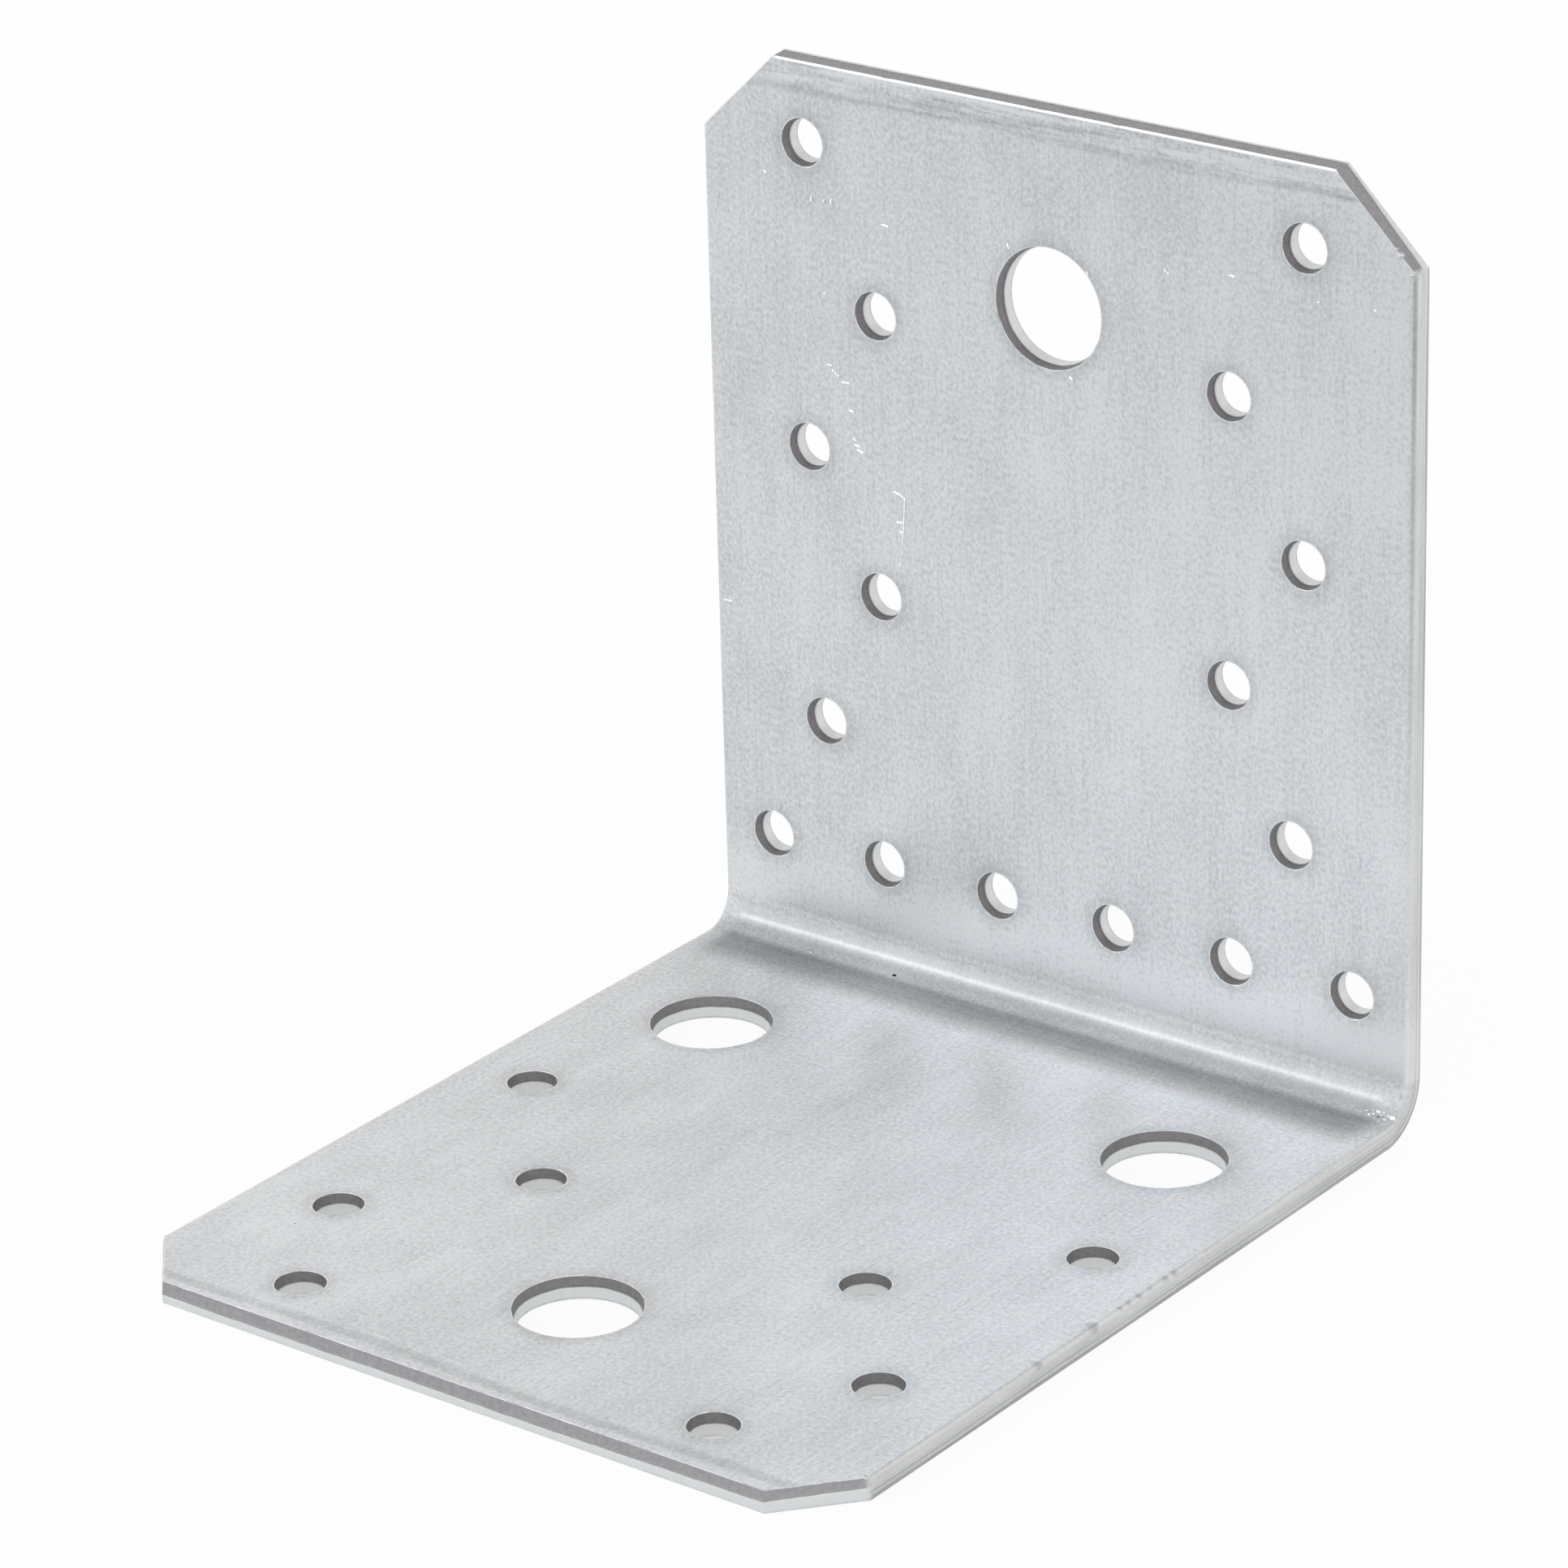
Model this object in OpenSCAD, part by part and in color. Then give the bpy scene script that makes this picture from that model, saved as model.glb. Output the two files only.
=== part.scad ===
// Angle bracket: one punched and folded strip of sheet steel, in millimetres, +Z up.
// X runs along the fold. The lying flange reaches towards -Y with its outer face on the
// floor, and the upright flange stands at the back. The origin is the middle of the footprint.

/* [Sheet] */
// width of the strip, measured along the fold
strip_w = 90; // [84:1:110]
// thickness of the sheet
sheet_t = 2.5; // [2:0.25:3]
// radius inside the fold
fold_r = 3.8; // [3:0.1:6]
// rounding of the long slit edges on the inner faces
edge_in_r = 0.8; // [0.4:0.1:1]
// rounding of the long slit edges on the outer faces
edge_out_r = 0.3; // [0.1:0.1:0.6]

/* [Upright flange] */
// height of the upright flange over the floor
up_h = 105; // [102:1:130]
// corner cut of the upright flange, along the top edge
up_cut_x = 9.6; // [4:0.1:11]
// corner cut of the upright flange, along the side
up_cut_z = 9.3; // [4:0.1:11]
// height of the low row of six nail holes
low_row_z = 14.6; // [14:0.1:18]
// distance of the low row's end holes from the sides
low_row_side = 7; // [6:0.5:10]
// height of the first pair of nail holes above the low row
pair_1_z = 29.9; // [27:0.1:32]
// height of the second pair
pair_2_z = 46.2; // [42:0.1:50]
// height of the third pair
pair_3_z = 61.6; // [57:0.1:66]
// height of the fourth pair
pair_4_z = 78.2; // [74:0.1:81]
// distance of the top pair below the top edge
pair_5_top = 9.1; // [8:0.1:12]
// distance of the first pair from the sides
pair_1_side = 14.7; // [12:0.1:18]
// distance of the third and the top pair from the sides
near_side = 13.3; // [12.5:0.1:16]
// distance of the second and the fourth pair from the sides
far_side = 22.5; // [19:0.1:24]
// distance of the upright flange's bolt hole below the top edge
up_bolt_top = 21.6; // [18:0.1:24]

/* [Lying flange] */
// depth of the lying flange, measured from the back of the upright one
lie_d = 105; // [102:1:130]
// corner cut of the lying flange, along the free edge
lie_cut_x = 6.8; // [4:0.1:10]
// corner cut of the lying flange, along the side
lie_cut_y = 7.8; // [4:0.1:10]
// distance of the two bolt holes near the fold from the back
near_bolt_y = 25.2; // [22:0.1:28]
// their distance from the sides
near_bolt_side = 15.3; // [13:0.1:20]
// distance of the bolt hole near the free edge from that edge
far_bolt_edge = 19.6; // [15:0.1:21]
// distance of the first pair of nail holes from the back
lie_1_y = 47.8; // [44:0.1:52]
// distance of the first pair from the sides
lie_1_side = 8.6; // [7:0.1:11]
// distance of the second pair from the back
lie_2_y = 65.4; // [62:0.1:68]
// distance of the second pair from the sides
lie_2_side = 24.1; // [20:0.1:26]
// distance of the third pair from the free edge
lie_3_edge = 23.3; // [20:0.1:27]
// distance of the third pair from the sides
lie_3_side = 10.4; // [8:0.1:13]
// distance of the last pair from the free edge
lie_4_edge = 7.7; // [6:0.1:9]
// distance of the last pair from the sides
lie_4_side = 18.7; // [17:0.1:23]

/* [Punched holes] */
// nail hole, where the punch went in
nail_d = 5; // [4:0.5:6]
// bolt hole, where the punch went in
bolt_d = 13; // [10:0.5:14]
// how much the torn part of a hole widens towards the inner face, on each side
flare = 0.2; // [0.05:0.05:0.3]
// share of the thickness that the punch cuts cleanly, from the outer face
clean_share = 0.5; // [0.3:0.1:0.7]

/* [Hidden] */
half_w = strip_w / 2;
back_y = lie_d / 2;
front_y = -lie_d / 2;
fold_y = back_y - sheet_t - fold_r;
fold_z = sheet_t + fold_r;
low_pitch = (strip_w - 2 * low_row_side) / 5;
over = 1;
$fn = 96;

// Section across the strip: x through the thickness from the inner face, y across the width
module strip_section() {
  difference() {
    translate([0, -half_w]) square([sheet_t, strip_w]);
    for (s = [-1, 1]) {
      inner_corner(s);
      outer_corner(s);
    }
  }
}

module inner_corner(s) {
  difference() {
    translate([-over, s > 0 ? half_w - edge_in_r : -half_w - over])
      square([over + edge_in_r, over + edge_in_r]);
    translate([edge_in_r, s * (half_w - edge_in_r)]) circle(r = edge_in_r);
  }
}

module outer_corner(s) {
  difference() {
    translate([sheet_t - edge_out_r, s > 0 ? half_w - edge_out_r : -half_w - over])
      square([over + edge_out_r, over + edge_out_r]);
    translate([sheet_t - edge_out_r, s * (half_w - edge_out_r)]) circle(r = edge_out_r);
  }
}

module upright_strip() {
  translate([0, back_y - sheet_t, fold_z])
    rotate([0, 0, 90])
      linear_extrude(up_h - fold_z) strip_section();
}

module lying_strip() {
  translate([0, fold_y, sheet_t])
    rotate([90, 0, 0]) rotate([0, 0, -90])
      linear_extrude(fold_y - front_y) strip_section();
}

module fold_strip() {
  translate([0, fold_y, fold_z])
    rotate([-90, 0, 0]) rotate([0, -90, 0])
      rotate_extrude(angle = 90) translate([fold_r, 0]) strip_section();
}

// A punch's cut, z from the outer face inwards: clean for a part, then torn and wider
module punch(d) {
  clean = sheet_t * clean_share;
  end_r = d / 2 + flare * (sheet_t + over - clean) / (sheet_t - clean);
  rotate_extrude()
    polygon([[0, -over], [d / 2, -over], [d / 2, clean], [end_r, sheet_t + over], [0, sheet_t + over]]);
}

module upright_punch(x, z, d) {
  translate([x, back_y, z]) rotate([90, 0, 0]) punch(d);
}

module lying_punch(x, from_back, d) {
  translate([x, back_y - from_back, 0]) punch(d);
}

module upright_pair(side, z) {
  for (s = [-1, 1]) upright_punch(s * (half_w - side), z, nail_d);
}

module lying_pair(side, from_back, d) {
  for (s = [-1, 1]) lying_punch(s * (half_w - side), from_back, d);
}

module upright_holes() {
  for (i = [0:5]) upright_punch(-half_w + low_row_side + i * low_pitch, low_row_z, nail_d);
  upright_pair(pair_1_side, pair_1_z);
  upright_pair(far_side, pair_2_z);
  upright_pair(near_side, pair_3_z);
  upright_pair(far_side, pair_4_z);
  upright_pair(near_side, up_h - pair_5_top);
  upright_punch(0, up_h - up_bolt_top, bolt_d);
}

module lying_holes() {
  lying_pair(near_bolt_side, near_bolt_y, bolt_d);
  lying_pair(lie_1_side, lie_1_y, nail_d);
  lying_pair(lie_2_side, lie_2_y, nail_d);
  lying_pair(lie_3_side, lie_d - lie_3_edge, nail_d);
  lying_pair(lie_4_side, lie_d - lie_4_edge, nail_d);
  lying_punch(0, lie_d - far_bolt_edge, bolt_d);
}

// The piece sheared off each free corner, drawn larger than the sheet on its two outer sides
module corner_cut(a, b) {
  k = over / b;
  polygon([[-a * (1 + k) , over], [over, over], [over, -b * (1 + over / a)]]);
}

module upright_cuts() {
  for (s = [0, 1])
    mirror([s, 0, 0])
      translate([half_w, back_y + over, up_h])
        rotate([90, 0, 0])
          linear_extrude(sheet_t + 2 * over) corner_cut(up_cut_x, up_cut_z);
}

module lying_cuts() {
  for (s = [0, 1])
    mirror([s, 0, 0])
      translate([half_w, front_y, -over])
        mirror([0, 1, 0])
          linear_extrude(sheet_t + 2 * over) corner_cut(lie_cut_x, lie_cut_y);
}

module bracket() {
  color([0.78, 0.80, 0.82])
    difference() {
      union() {
        upright_strip();
        fold_strip();
        lying_strip();
      }
      upright_cuts();
      lying_cuts();
      upright_holes();
      lying_holes();
    }
}

bracket();
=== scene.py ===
import math

import bmesh
import bpy
from mathutils import Matrix, Vector, noise


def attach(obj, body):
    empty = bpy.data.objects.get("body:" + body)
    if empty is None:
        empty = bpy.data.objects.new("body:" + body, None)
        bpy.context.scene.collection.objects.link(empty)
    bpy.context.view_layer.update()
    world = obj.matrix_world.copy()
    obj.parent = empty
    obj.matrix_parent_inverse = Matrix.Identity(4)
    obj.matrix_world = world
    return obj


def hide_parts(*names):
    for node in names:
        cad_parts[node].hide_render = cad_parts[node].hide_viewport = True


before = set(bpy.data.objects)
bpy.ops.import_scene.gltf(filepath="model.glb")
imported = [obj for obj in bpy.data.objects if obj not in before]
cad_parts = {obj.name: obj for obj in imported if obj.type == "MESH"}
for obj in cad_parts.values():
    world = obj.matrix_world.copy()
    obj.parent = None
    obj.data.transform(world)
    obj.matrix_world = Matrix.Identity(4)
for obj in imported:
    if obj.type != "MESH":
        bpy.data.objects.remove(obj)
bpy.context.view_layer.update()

# The part's own sizes in millimetres, the same as in its CAD source
STRIP_W = 90.0
SHEET_T = 2.5
FOLD_R = 3.8
UP_H = 105.0
LIE_D = 105.0
UP_CUT = (9.6, 9.3)
LIE_CUT = (6.8, 7.8)
NAIL_R = 2.5
BOLT_R = 6.5
UP_NAILS = ((7.6, 14.6), (22.8, 14.6), (38.0, 14.6), (30.3, 29.9), (22.5, 46.2),
            (31.7, 61.6), (22.5, 78.2), (31.7, 95.9))
UP_BOLT_Z = 83.4
LIE_NAILS = ((36.4, 4.7), (20.9, -12.9), (34.6, -29.2), (26.3, -44.8))
LIE_NEAR_BOLT = (29.7, 27.3)
LIE_FAR_BOLT_Y = -32.9

# Places that follow from them. The blank is the sheet before folding: u runs across it, and v along it from
# the middle of the fold, up on the upright flange and down on the lying one. h is the height above the outer
# face.
MM = 0.001
HALF_W = STRIP_W / 2
HALF_D = LIE_D / 2
OUTER_R = FOLD_R + SHEET_T
FOLD_Y = HALF_D - OUTER_R
HALF_FOLD = (FOLD_R + SHEET_T / 2) * math.pi / 4
UP_END = HALF_FOLD + UP_H - OUTER_R
LIE_END = -HALF_FOLD - (LIE_D - OUTER_R)

# How finely the sheet is divided
EDGE_PITCH = 0.5
HOLE_SIDES = {NAIL_R: 72, BOLT_R: 112}
FOLD_STEPS = 28
SHARP_ANGLE = math.radians(38)

# A cut wall's section from the inner face to the outer one: how far in from the cut, height, how torn and how
# near the cut. Then a rolled edge's section, with as many steps: how far in, and height.
CUT_WALL = (
    (2.4, 2.5, 0, 0.0), (1.7, 2.5, 0, 0.2), (1.1, 2.5, 0, 0.55), (0.55, 2.5, 0, 0.9), (0.34, 2.505, 0, 1.0),
    (0.19, 2.505, 0, 1.0), (0.17, 2.49, 0, 1.0), (0.168, 2.465, 1, 1.0), (0.16, 2.3, 1, 1.0),
    (0.13, 1.95, 1, 1.0),
    (0.085, 1.6, 1, 1.0), (0.045, 1.29, 1, 1.0), (0.0, 1.21, 0, 1.0), (0.0, 0.9, 0, 1.0), (0.0, 0.6, 0, 1.0),
    (0.0, 0.32, 0, 1.0), (0.05, 0.13, 0, 1.0), (0.15, 0.035, 0, 0.8), (0.3, 0.0, 0, 0.5), (0.9, 0.0, 0, 0.25),
    (2.2, 0.0, 0, 0.0),
)
ROLLED_WALL = (
    (1.9, 2.5), (1.4, 2.5), (0.9, 2.5), (0.55, 2.5), (0.42, 2.49),
    (0.32, 2.462), (0.23, 2.415), (0.155, 2.355), (0.095, 2.28), (0.045, 2.18),
    (0.012, 2.06), (0.0, 1.92), (0.0, 1.5), (0.0, 1.05), (0.0, 0.65),
    (0.0, 0.2), (0.02, 0.08), (0.07, 0.02), (0.16, 0.0), (0.7, 0.0),
    (2.2, 0.0),
)

# Steps of the sections: with burr, at the rim, torn, at the line between torn and clean, on the wall, and the
# slightly uneven ones of a rolled edge
BURR_STEPS = (4, 5)
RIM_STEPS = (5, 6)
TORN_STEPS = (7, 8, 9, 10, 11)
LINE_STEPS = (11, 12)
WALL_STEPS = (7, 15)
ROLL_STEPS = (4, 15)

# Height of the line between torn and clean: in the section above, in the holes, along the free ends, where it
# rises on the lying one from one place across to another, and along the cut corners from end to side
WALL_LINE, WALL_LINE_STEP = 1.29, 0.08
HOLE_LINE = 1.4
UP_END_LINE, LIE_END_LINES = 0.56, (1.08, 1.34)
LIE_END_RISE = (12.0, 38.0)
UP_CUT_LINES, LIE_CUT_LINES, LIE_LEFT_CUT_LINES = (0.55, 1.25), (1.36, 1.56), (1.08, 1.25)
LINE_STEP = 0.06

# Relief of the cut walls. A wave has its size, pitch and layer. A facet has its breadth, how much that swings,
# and the pitch and layer of the swing.
LINE_WAVES = ((0.09, 9.0, 4.2), (0.05, 1.6, 7.9))
BURR_WAVES = ((1.0, 1.7, 3.1), (0.7, 0.45, 8.7))
TEAR_WAVES = ((0.035, 0.9, 1.3), (0.02, 0.35, 6.1))
HOLE_FACET, TOP_FACET, CUT_FACET = (-0.1, 0.9, 3.4, 5.2), (1.15, 0.2, 2.6, 3.6), (-0.15, 0.6, 3.0, 1.9)
FACET_WIDE, FACET_BACK, FACET_DROP, FACET_LIFT = 0.16, 0.3, 0.095, 0.025
FACET_BRIGHT, FACET_SMOOTH = 0.8, 0.14
BURR_HEIGHT, BURR_BASE, BURR_CALM = 0.03, 0.3, 0.6
NICK_DEEP, NICK_RARE, NICK_PITCH, NICK_LAYER = 0.16, 0.3, 1.3, 9.3
TORN_DROP = 0.11
HOLE_LAND, HOLE_ROLL_INSET, HOLE_ROLL_HEIGHT = 0.11, 0.3, 0.35
ROLL_UNEVEN, ROLL_PITCH, ROLL_LAYER = 0.015, 4.0, 2.2

# How near two places count as one, in millimetres
AT_END, AT_EDGE, WELD = 0.01, 1e-3, 1e-4

# Beads of burr on the rim: place on the blank and radius
BEADS = ((43.1, 94.9, 0.42), (42.6, 95.5, 0.22), (44.5, 93.1, 0.26), (44.5, -94.9, 0.34))
BEAD_HEIGHT = 0.8

# The camera, at the photograph's own angle
CAMERA_PLACE = (0.3960, -0.5079, 0.3243)
CAMERA_AZIMUTH = math.radians(37.78)
CAMERA_ELEVATION = math.radians(23.26)
CAMERA_ROLL = math.radians(-1.57)
CAMERA_LENS = 159.8
CAMERA_CLIP = (0.05, 20.0)
SENSOR = 36.0

# The studio: a pale dome, dimmer overhead and a little brighter in front, one soft light at the left in front,
# and a pale pool of light on the floor
DOME_HEIGHTS = (0.62, 0.80)
DOME_LEVELS = (0.82, 0.49)
DOME_DEPTHS = (-0.75, 0.75)
DOME_DEPTH_LEVELS = (1.1, 0.92)
DOME_FRONT_COLOUR = (0.965, 0.985, 1.0, 1)
DOME_BACK_COLOUR = (1.0, 1.0, 0.995, 1)
KEY_PLACE = (-0.865, -0.710, 0.860)
KEY_SIZE = (1.1, 0.21)
KEY_POWER = 0.36
KEY_AIM = (0.0, 0.0, 0.045)
FLOOR_SIZE, FLOOR_Z, SHADE_Z = 6.0, -0.0001, -0.00004
# Discs of floor with painted shade under the lying nail holes: radius, where the shade fades in, and their glow
# and matt share
SHADE_R, SHADE_FADE = 2.6, (0.4, 0.8)
SHADE_GLOW, SHADE_MATT = 0.5, 0.3
FLOOR_GLOW, FLOOR_MATT = 0.86, 0.2
FLOOR_GLOW_IN_METAL = 0.45
FLOOR_COLOUR_IN_METAL = (0.78, 0.80, 0.82, 1)
FLOOR_FADE_WAY = (0.707, -0.707, 0.0)
FLOOR_FADE = (0.065, 0.23)
FLOOR_FADE_LEVELS = (1.0, 0.35)
FLOOR_FRONT = (-0.16, -0.03)
FLOOR_FRONT_LEVELS = (0.93, 1.0)

# Zinc and steel, as shares of the light they reflect
ZINC_LEVEL = 0.885
ZINC_COLOUR = (0.965, 0.982, 1.0, 1)
ROLLED_COLOUR = (0.985, 0.992, 0.98, 1)
FINE_SHARE, CLOUD_SHARE, STREAK_SHARE = 0.95, 0.30, 0.16
HALO_SHARE = 0.3
BRIGHT_GAIN = 0.3
BLACK = (0, 0, 0, 1)
CLEAN_COLOURS = ((0.89, 0.92, 0.905, 1), (1.0, 1.0, 1.0, 1))
TORN_COLOURS = ((0.34, 0.33, 0.34, 1), (0.66, 0.64, 0.65, 1))
HOLE_TORN_COLOURS = ((0.22, 0.21, 0.215, 1), (0.48, 0.46, 0.465, 1))
GRAIN_ROUGH, ZINC_ROUGH, TORN_ROUGH, WALL_ROUGH = 0.12, 0.26, 0.06, 0.16
BUMP_TORN, BUMP_SMOOTH, BUMP_ZINC = 2.5, -0.4, 0.5
BUMP_STRENGTH, BUMP_DEEP = 0.5, 0.00006

# Bands of wear, and of painted light and shade: the places where each starts, is full, ends and has gone;
# then how dark, bright or rough they are. The fold's pressed and upper bands are painted shade, the band just
# above the fold painted light, and the low band on the lying flange's walls painted shade
FOLD_ACROSS = (0.8 - HALF_W, 3.6 - HALF_W, HALF_W - 3.6, HALF_W - 0.8)
# The fold's pressed band is painted shade and also rougher; its upper band is painted shade
FOLD_PRESSED_SHADE_AND_ROUGH = (-HALF_FOLD - 6.8, -HALF_FOLD - 1.6, 0.6 - HALF_FOLD, 2.3 - HALF_FOLD)
FOLD_UPPER_SHADE = (0.45, 1.0, 2.6, 3.5)
FOLD_SMOOTH = (-1.5, -0.6, 1.2, 2.6)
FOLD_ENDS = (-HALF_FOLD, -2.0, 3.0, HALF_FOLD)
# The band just above the fold is painted lighter: painted light
ABOVE_FOLD_LIT_BAND = (HALF_FOLD - 0.8, HALF_FOLD + 0.6, HALF_FOLD + 3.5, HALF_FOLD + 9.0)
LOW_SHEAR = (LIE_END + 1.0, LIE_END + 1.7, LIE_END + 2.2, LIE_END + 3.2)
HIGH_SHEAR = (UP_END - 4.0, UP_END - 3.2, UP_END - 2.7, UP_END - 1.9)
TOP_RUBBED = (UP_END - 4.4, UP_END - 2.4, UP_END + 1.0, UP_END + 2.0)
# The low band on the lying flange's walls is painted shade
LYING_WALL_SHADE_BAND = (-0.2, -0.1, 0.9, 1.15)
# How much painted shade the fold's upper and pressed bands take
UPPER_PAINTED_SHADE, PRESSED_PAINTED_SHADE = 0.17, 0.25
PRESSED_ROUGH, SMOOTH_ROUGH, ENDS_ROUGH = 0.14, -0.06, 0.3
# How much painted light the band above the fold takes
ABOVE_FOLD_PAINTED_LIGHT = 0.11
LOW_SHEAR_DARK, HIGH_SHEAR_DARK = 0.34, 0.22
SHEAR_WAVER, WALL_WAVER = (0.13, 0.3), (0.21, 0.06)
TOP_STREAKS = (1.3, -0.63)
WALL_STREAK_DARK = 0.17

# Dark lines along the rolled walls: heights where each starts, is full, ends and has gone, and how dark it is
WALL_LINES = (((1.24, 1.29, 1.36, 1.42), 0.12), ((0.82, 0.88, 0.96, 1.03), 0.2),
              ((-0.2, -0.1, 0.42, 0.56), 0.24))
# How much painted shade the lying flange's walls take low down, fading in away from the fold
LYING_WALL_PAINTED_SHADE = 0.08

# Scuffs on the rounded long edge of the lying flange: place on the blank, radius and how dark
SCUFFS = ((44.75, -57.4, 0.95, 0.42), (44.5, -58.6, 0.36, 0.36), (44.75, -67.0, 0.85, 0.36),
          (44.72, -52.7, 0.5, 0.3),
          (44.76, -51.3, 0.56, 0.26), (44.72, -49.4, 0.62, 0.3), (44.76, -47.5, 0.5, 0.24),
          (44.8, -44.8, 0.7, 0.24),
          (44.8, -43.2, 0.7, 0.24))

# Broad patches of tone on the inner faces, painted light and shade: the dark one at the left by the fold is
# painted shade, and the pale ones along the upright's right side are painted light. Place on the blank, radius
# and change
TONE_LIGHT_AND_SHADE_PATCHES = ((-34.0, -10.0, 14.0, -0.2), (42.0, 28.0, 26.0, 0.05), (42.0, 84.0, 26.0, 0.05),
           (-2.0, -32.0, 30.0, -0.06), (40.0, 8.0, 14.0, 0.06), (-36.0, -84.0, 26.0, 0.05),
           (14.0, 52.0, 42.0, 0.06))

# Small marks on the inner faces. Bright scratches: both ends (across, and height on the upright) and how
# bright. Dark specks and bright flecks: place on the blank, radius and how strong. Long scratch: both ends on
# the blank.
SCRATCH_WIDTH = 0.14
MARK_SLOPE, FLECK_SLOPE = 0.65, 0.4
MARK_DEEP = 0.1
WEDGE_LONG, WEDGE_BROAD, FLECK_BROAD = 0.22, 0.8, 1.4
SPECK_HEIGHT = 0.01
SCRATCHES = (
    (-36.9, 91.9, -36.5, 91.7, 0.8), (-30.6, 90.1, -30.6, 89.6, 0.9), (-28.9, 90.1, -28.9, 89.8, 0.5),
    (-28.0, 90.3, -28.0, 89.7, 1.0), (-21.4, 88.7, -20.5, 88.6, 0.8), (-29.0, 71.6, -28.4, 71.5, 0.5),
    (-28.4, 71.1, -27.4, 70.5, 0.5), (-27.1, 69.9, -26.1, 70.0, 0.6), (-26.2, 66.9, -25.6, 66.8, 1.0),
    (-25.8, 63.8, -25.3, 63.6, 0.4), (-25.6, 63.1, -24.8, 63.0, 1.0), (-25.3, 62.6, -24.4, 62.4, 1.0),
    (-20.5, 58.8, -19.6, 58.6, 1.0), (-19.6, 58.6, -18.9, 58.2, 1.0), (-19.0, 58.2, -19.4, 53.1, 0.2),
    (-20.2, 55.4, -19.4, 55.4, 0.9), (-19.8, 54.4, -19.4, 54.3, 0.8), (-19.5, 51.9, -19.5, 51.8, 0.8),
    (-19.8, 50.7, -19.9, 50.3, 0.5), (-44.0, 41.2, -42.9, 41.2, 0.5), (-41.4, 86.8, -41.4, 86.7, 0.6),
    (-29.2, 79.7, -29.1, 79.5, 0.6), (22.6, 91.4, 23.3, 91.3, 0.8), (14.6, 90.5, 15.2, 90.1, 0.5),
    (-5.1, 89.6, -4.9, 89.1, 1.0), (2.6, 76.4, 3.1, 76.2, 1.0), (4.9, 88.4, 5.1, 88.0, 0.6),
)
SPECKS = (
    (-20.0, -2.0, 0.3, 1.0), (42.9, -2.0, 0.22, 0.8), (43.4, -1.8, 0.12, 0.6),
    (-1.4, 4.5, 0.12, 0.6), (-22.3, -11.7, 0.12, 0.6), (1.9, -11.2, 0.09, 0.5),
    (12.7, -41.5, 0.13, 0.6), (-35.5, -85.2, 0.13, 0.7), (-44.2, 42.7, 0.16, 0.4), (-12.7, 15.9, 0.1, 0.4),
)
LONG_SCRATCH = ((7.6, -43.1), (30.2, -42.7))
LONG_SCRATCH_WIDTH = 0.13
LONG_SCRATCH_DARK = 0.22
MARK_SINK = 0.002
FLECKS = (
    (42.2, -1.75, 0.13, 0.8), (42.6, -1.20, 0.24, 1.0), (43.2, -1.05, 0.13, 0.9), (41.8, -2.10, 0.16, 0.7),
    (43.8, -2.20, 0.19, 0.9), (42.7, -2.60, 0.1, 0.7), (41.3, -1.50, 0.09, 0.5), (43.9, -1.40, 0.12, 0.8),
    (42.3, -2.30, 0.08, 0.6), (43.1, -1.55, 0.09, 0.7), (41.9, -1.20, 0.08, 0.6), (43.3, -2.75, 0.14, 0.8),
    (44.5, -1.90, 0.09, 0.6), (40.7, -2.00, 0.07, 0.5),
    (-31.4, -2.3, 0.12, 0.6), (44.5, 1.7, 0.2, 0.7), (44.5, -1.6, 0.3, 1.0), (44.3, -4.4, 0.24, 0.8),
    (-43.2, 1.3, 0.12, 0.5), (40.2, 88.6, 0.12, 0.6), (33.4, 88.2, 0.12, 0.6),
    (44.7, -91.1, 0.17, 0.9),
)


def blank_place_up(z):
    return HALF_FOLD + z - OUTER_R


def blank_place_lie(y):
    return -HALF_FOLD - (FOLD_Y - y)


def folded(u, v, h):
    """Where a point of the blank lies once the sheet is folded."""
    if v >= HALF_FOLD:
        return Vector((u, HALF_D - h, OUTER_R + v - HALF_FOLD))
    if v <= -HALF_FOLD:
        return Vector((u, FOLD_Y + v + HALF_FOLD, h))
    turn = (v + HALF_FOLD) / (2 * HALF_FOLD) * math.pi / 2
    r = OUTER_R - h
    return Vector((u, FOLD_Y + r * math.sin(turn), OUTER_R - r * math.cos(turn)))


def wave(u, v, h, pitch, layer=0.0):
    """Smooth unevenness from -1 to 1 whose bumps are about that many millimetres apart."""
    return noise.noise(Vector((u / pitch + layer, v / pitch - layer, h / pitch + 2.3 * layer)))


def waves(u, v, h, rows):
    """The sum of several waves, each with its size, pitch and layer."""
    return sum(size * wave(u, v, h, pitch, layer) for size, pitch, layer in rows)


def cut_blank(bm):
    """The blank's outline: a rectangle with its four corners cut off."""
    bmesh.ops.create_grid(bm, x_segments=1, y_segments=1, size=1.0)
    bmesh.ops.scale(bm, vec=(HALF_W, (UP_END - LIE_END) / 2, 1.0), verts=bm.verts[:])
    bmesh.ops.translate(bm, vec=(0.0, (UP_END + LIE_END) / 2, 0.0), verts=bm.verts[:])
    for side in (1, -1):
        for end, way, (across, along) in ((UP_END, 1, UP_CUT), (LIE_END, -1, LIE_CUT)):
            bmesh.ops.bisect_plane(
                bm, geom=bm.verts[:] + bm.edges[:] + bm.faces[:], dist=WELD,
                plane_co=(side * (HALF_W - across), end, 0.0),
                plane_no=Vector((side * along, way * across, 0.0)).normalized(), clear_outer=True)
    bmesh.ops.delete(bm, geom=bm.faces[:], context="FACES_ONLY")


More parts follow.
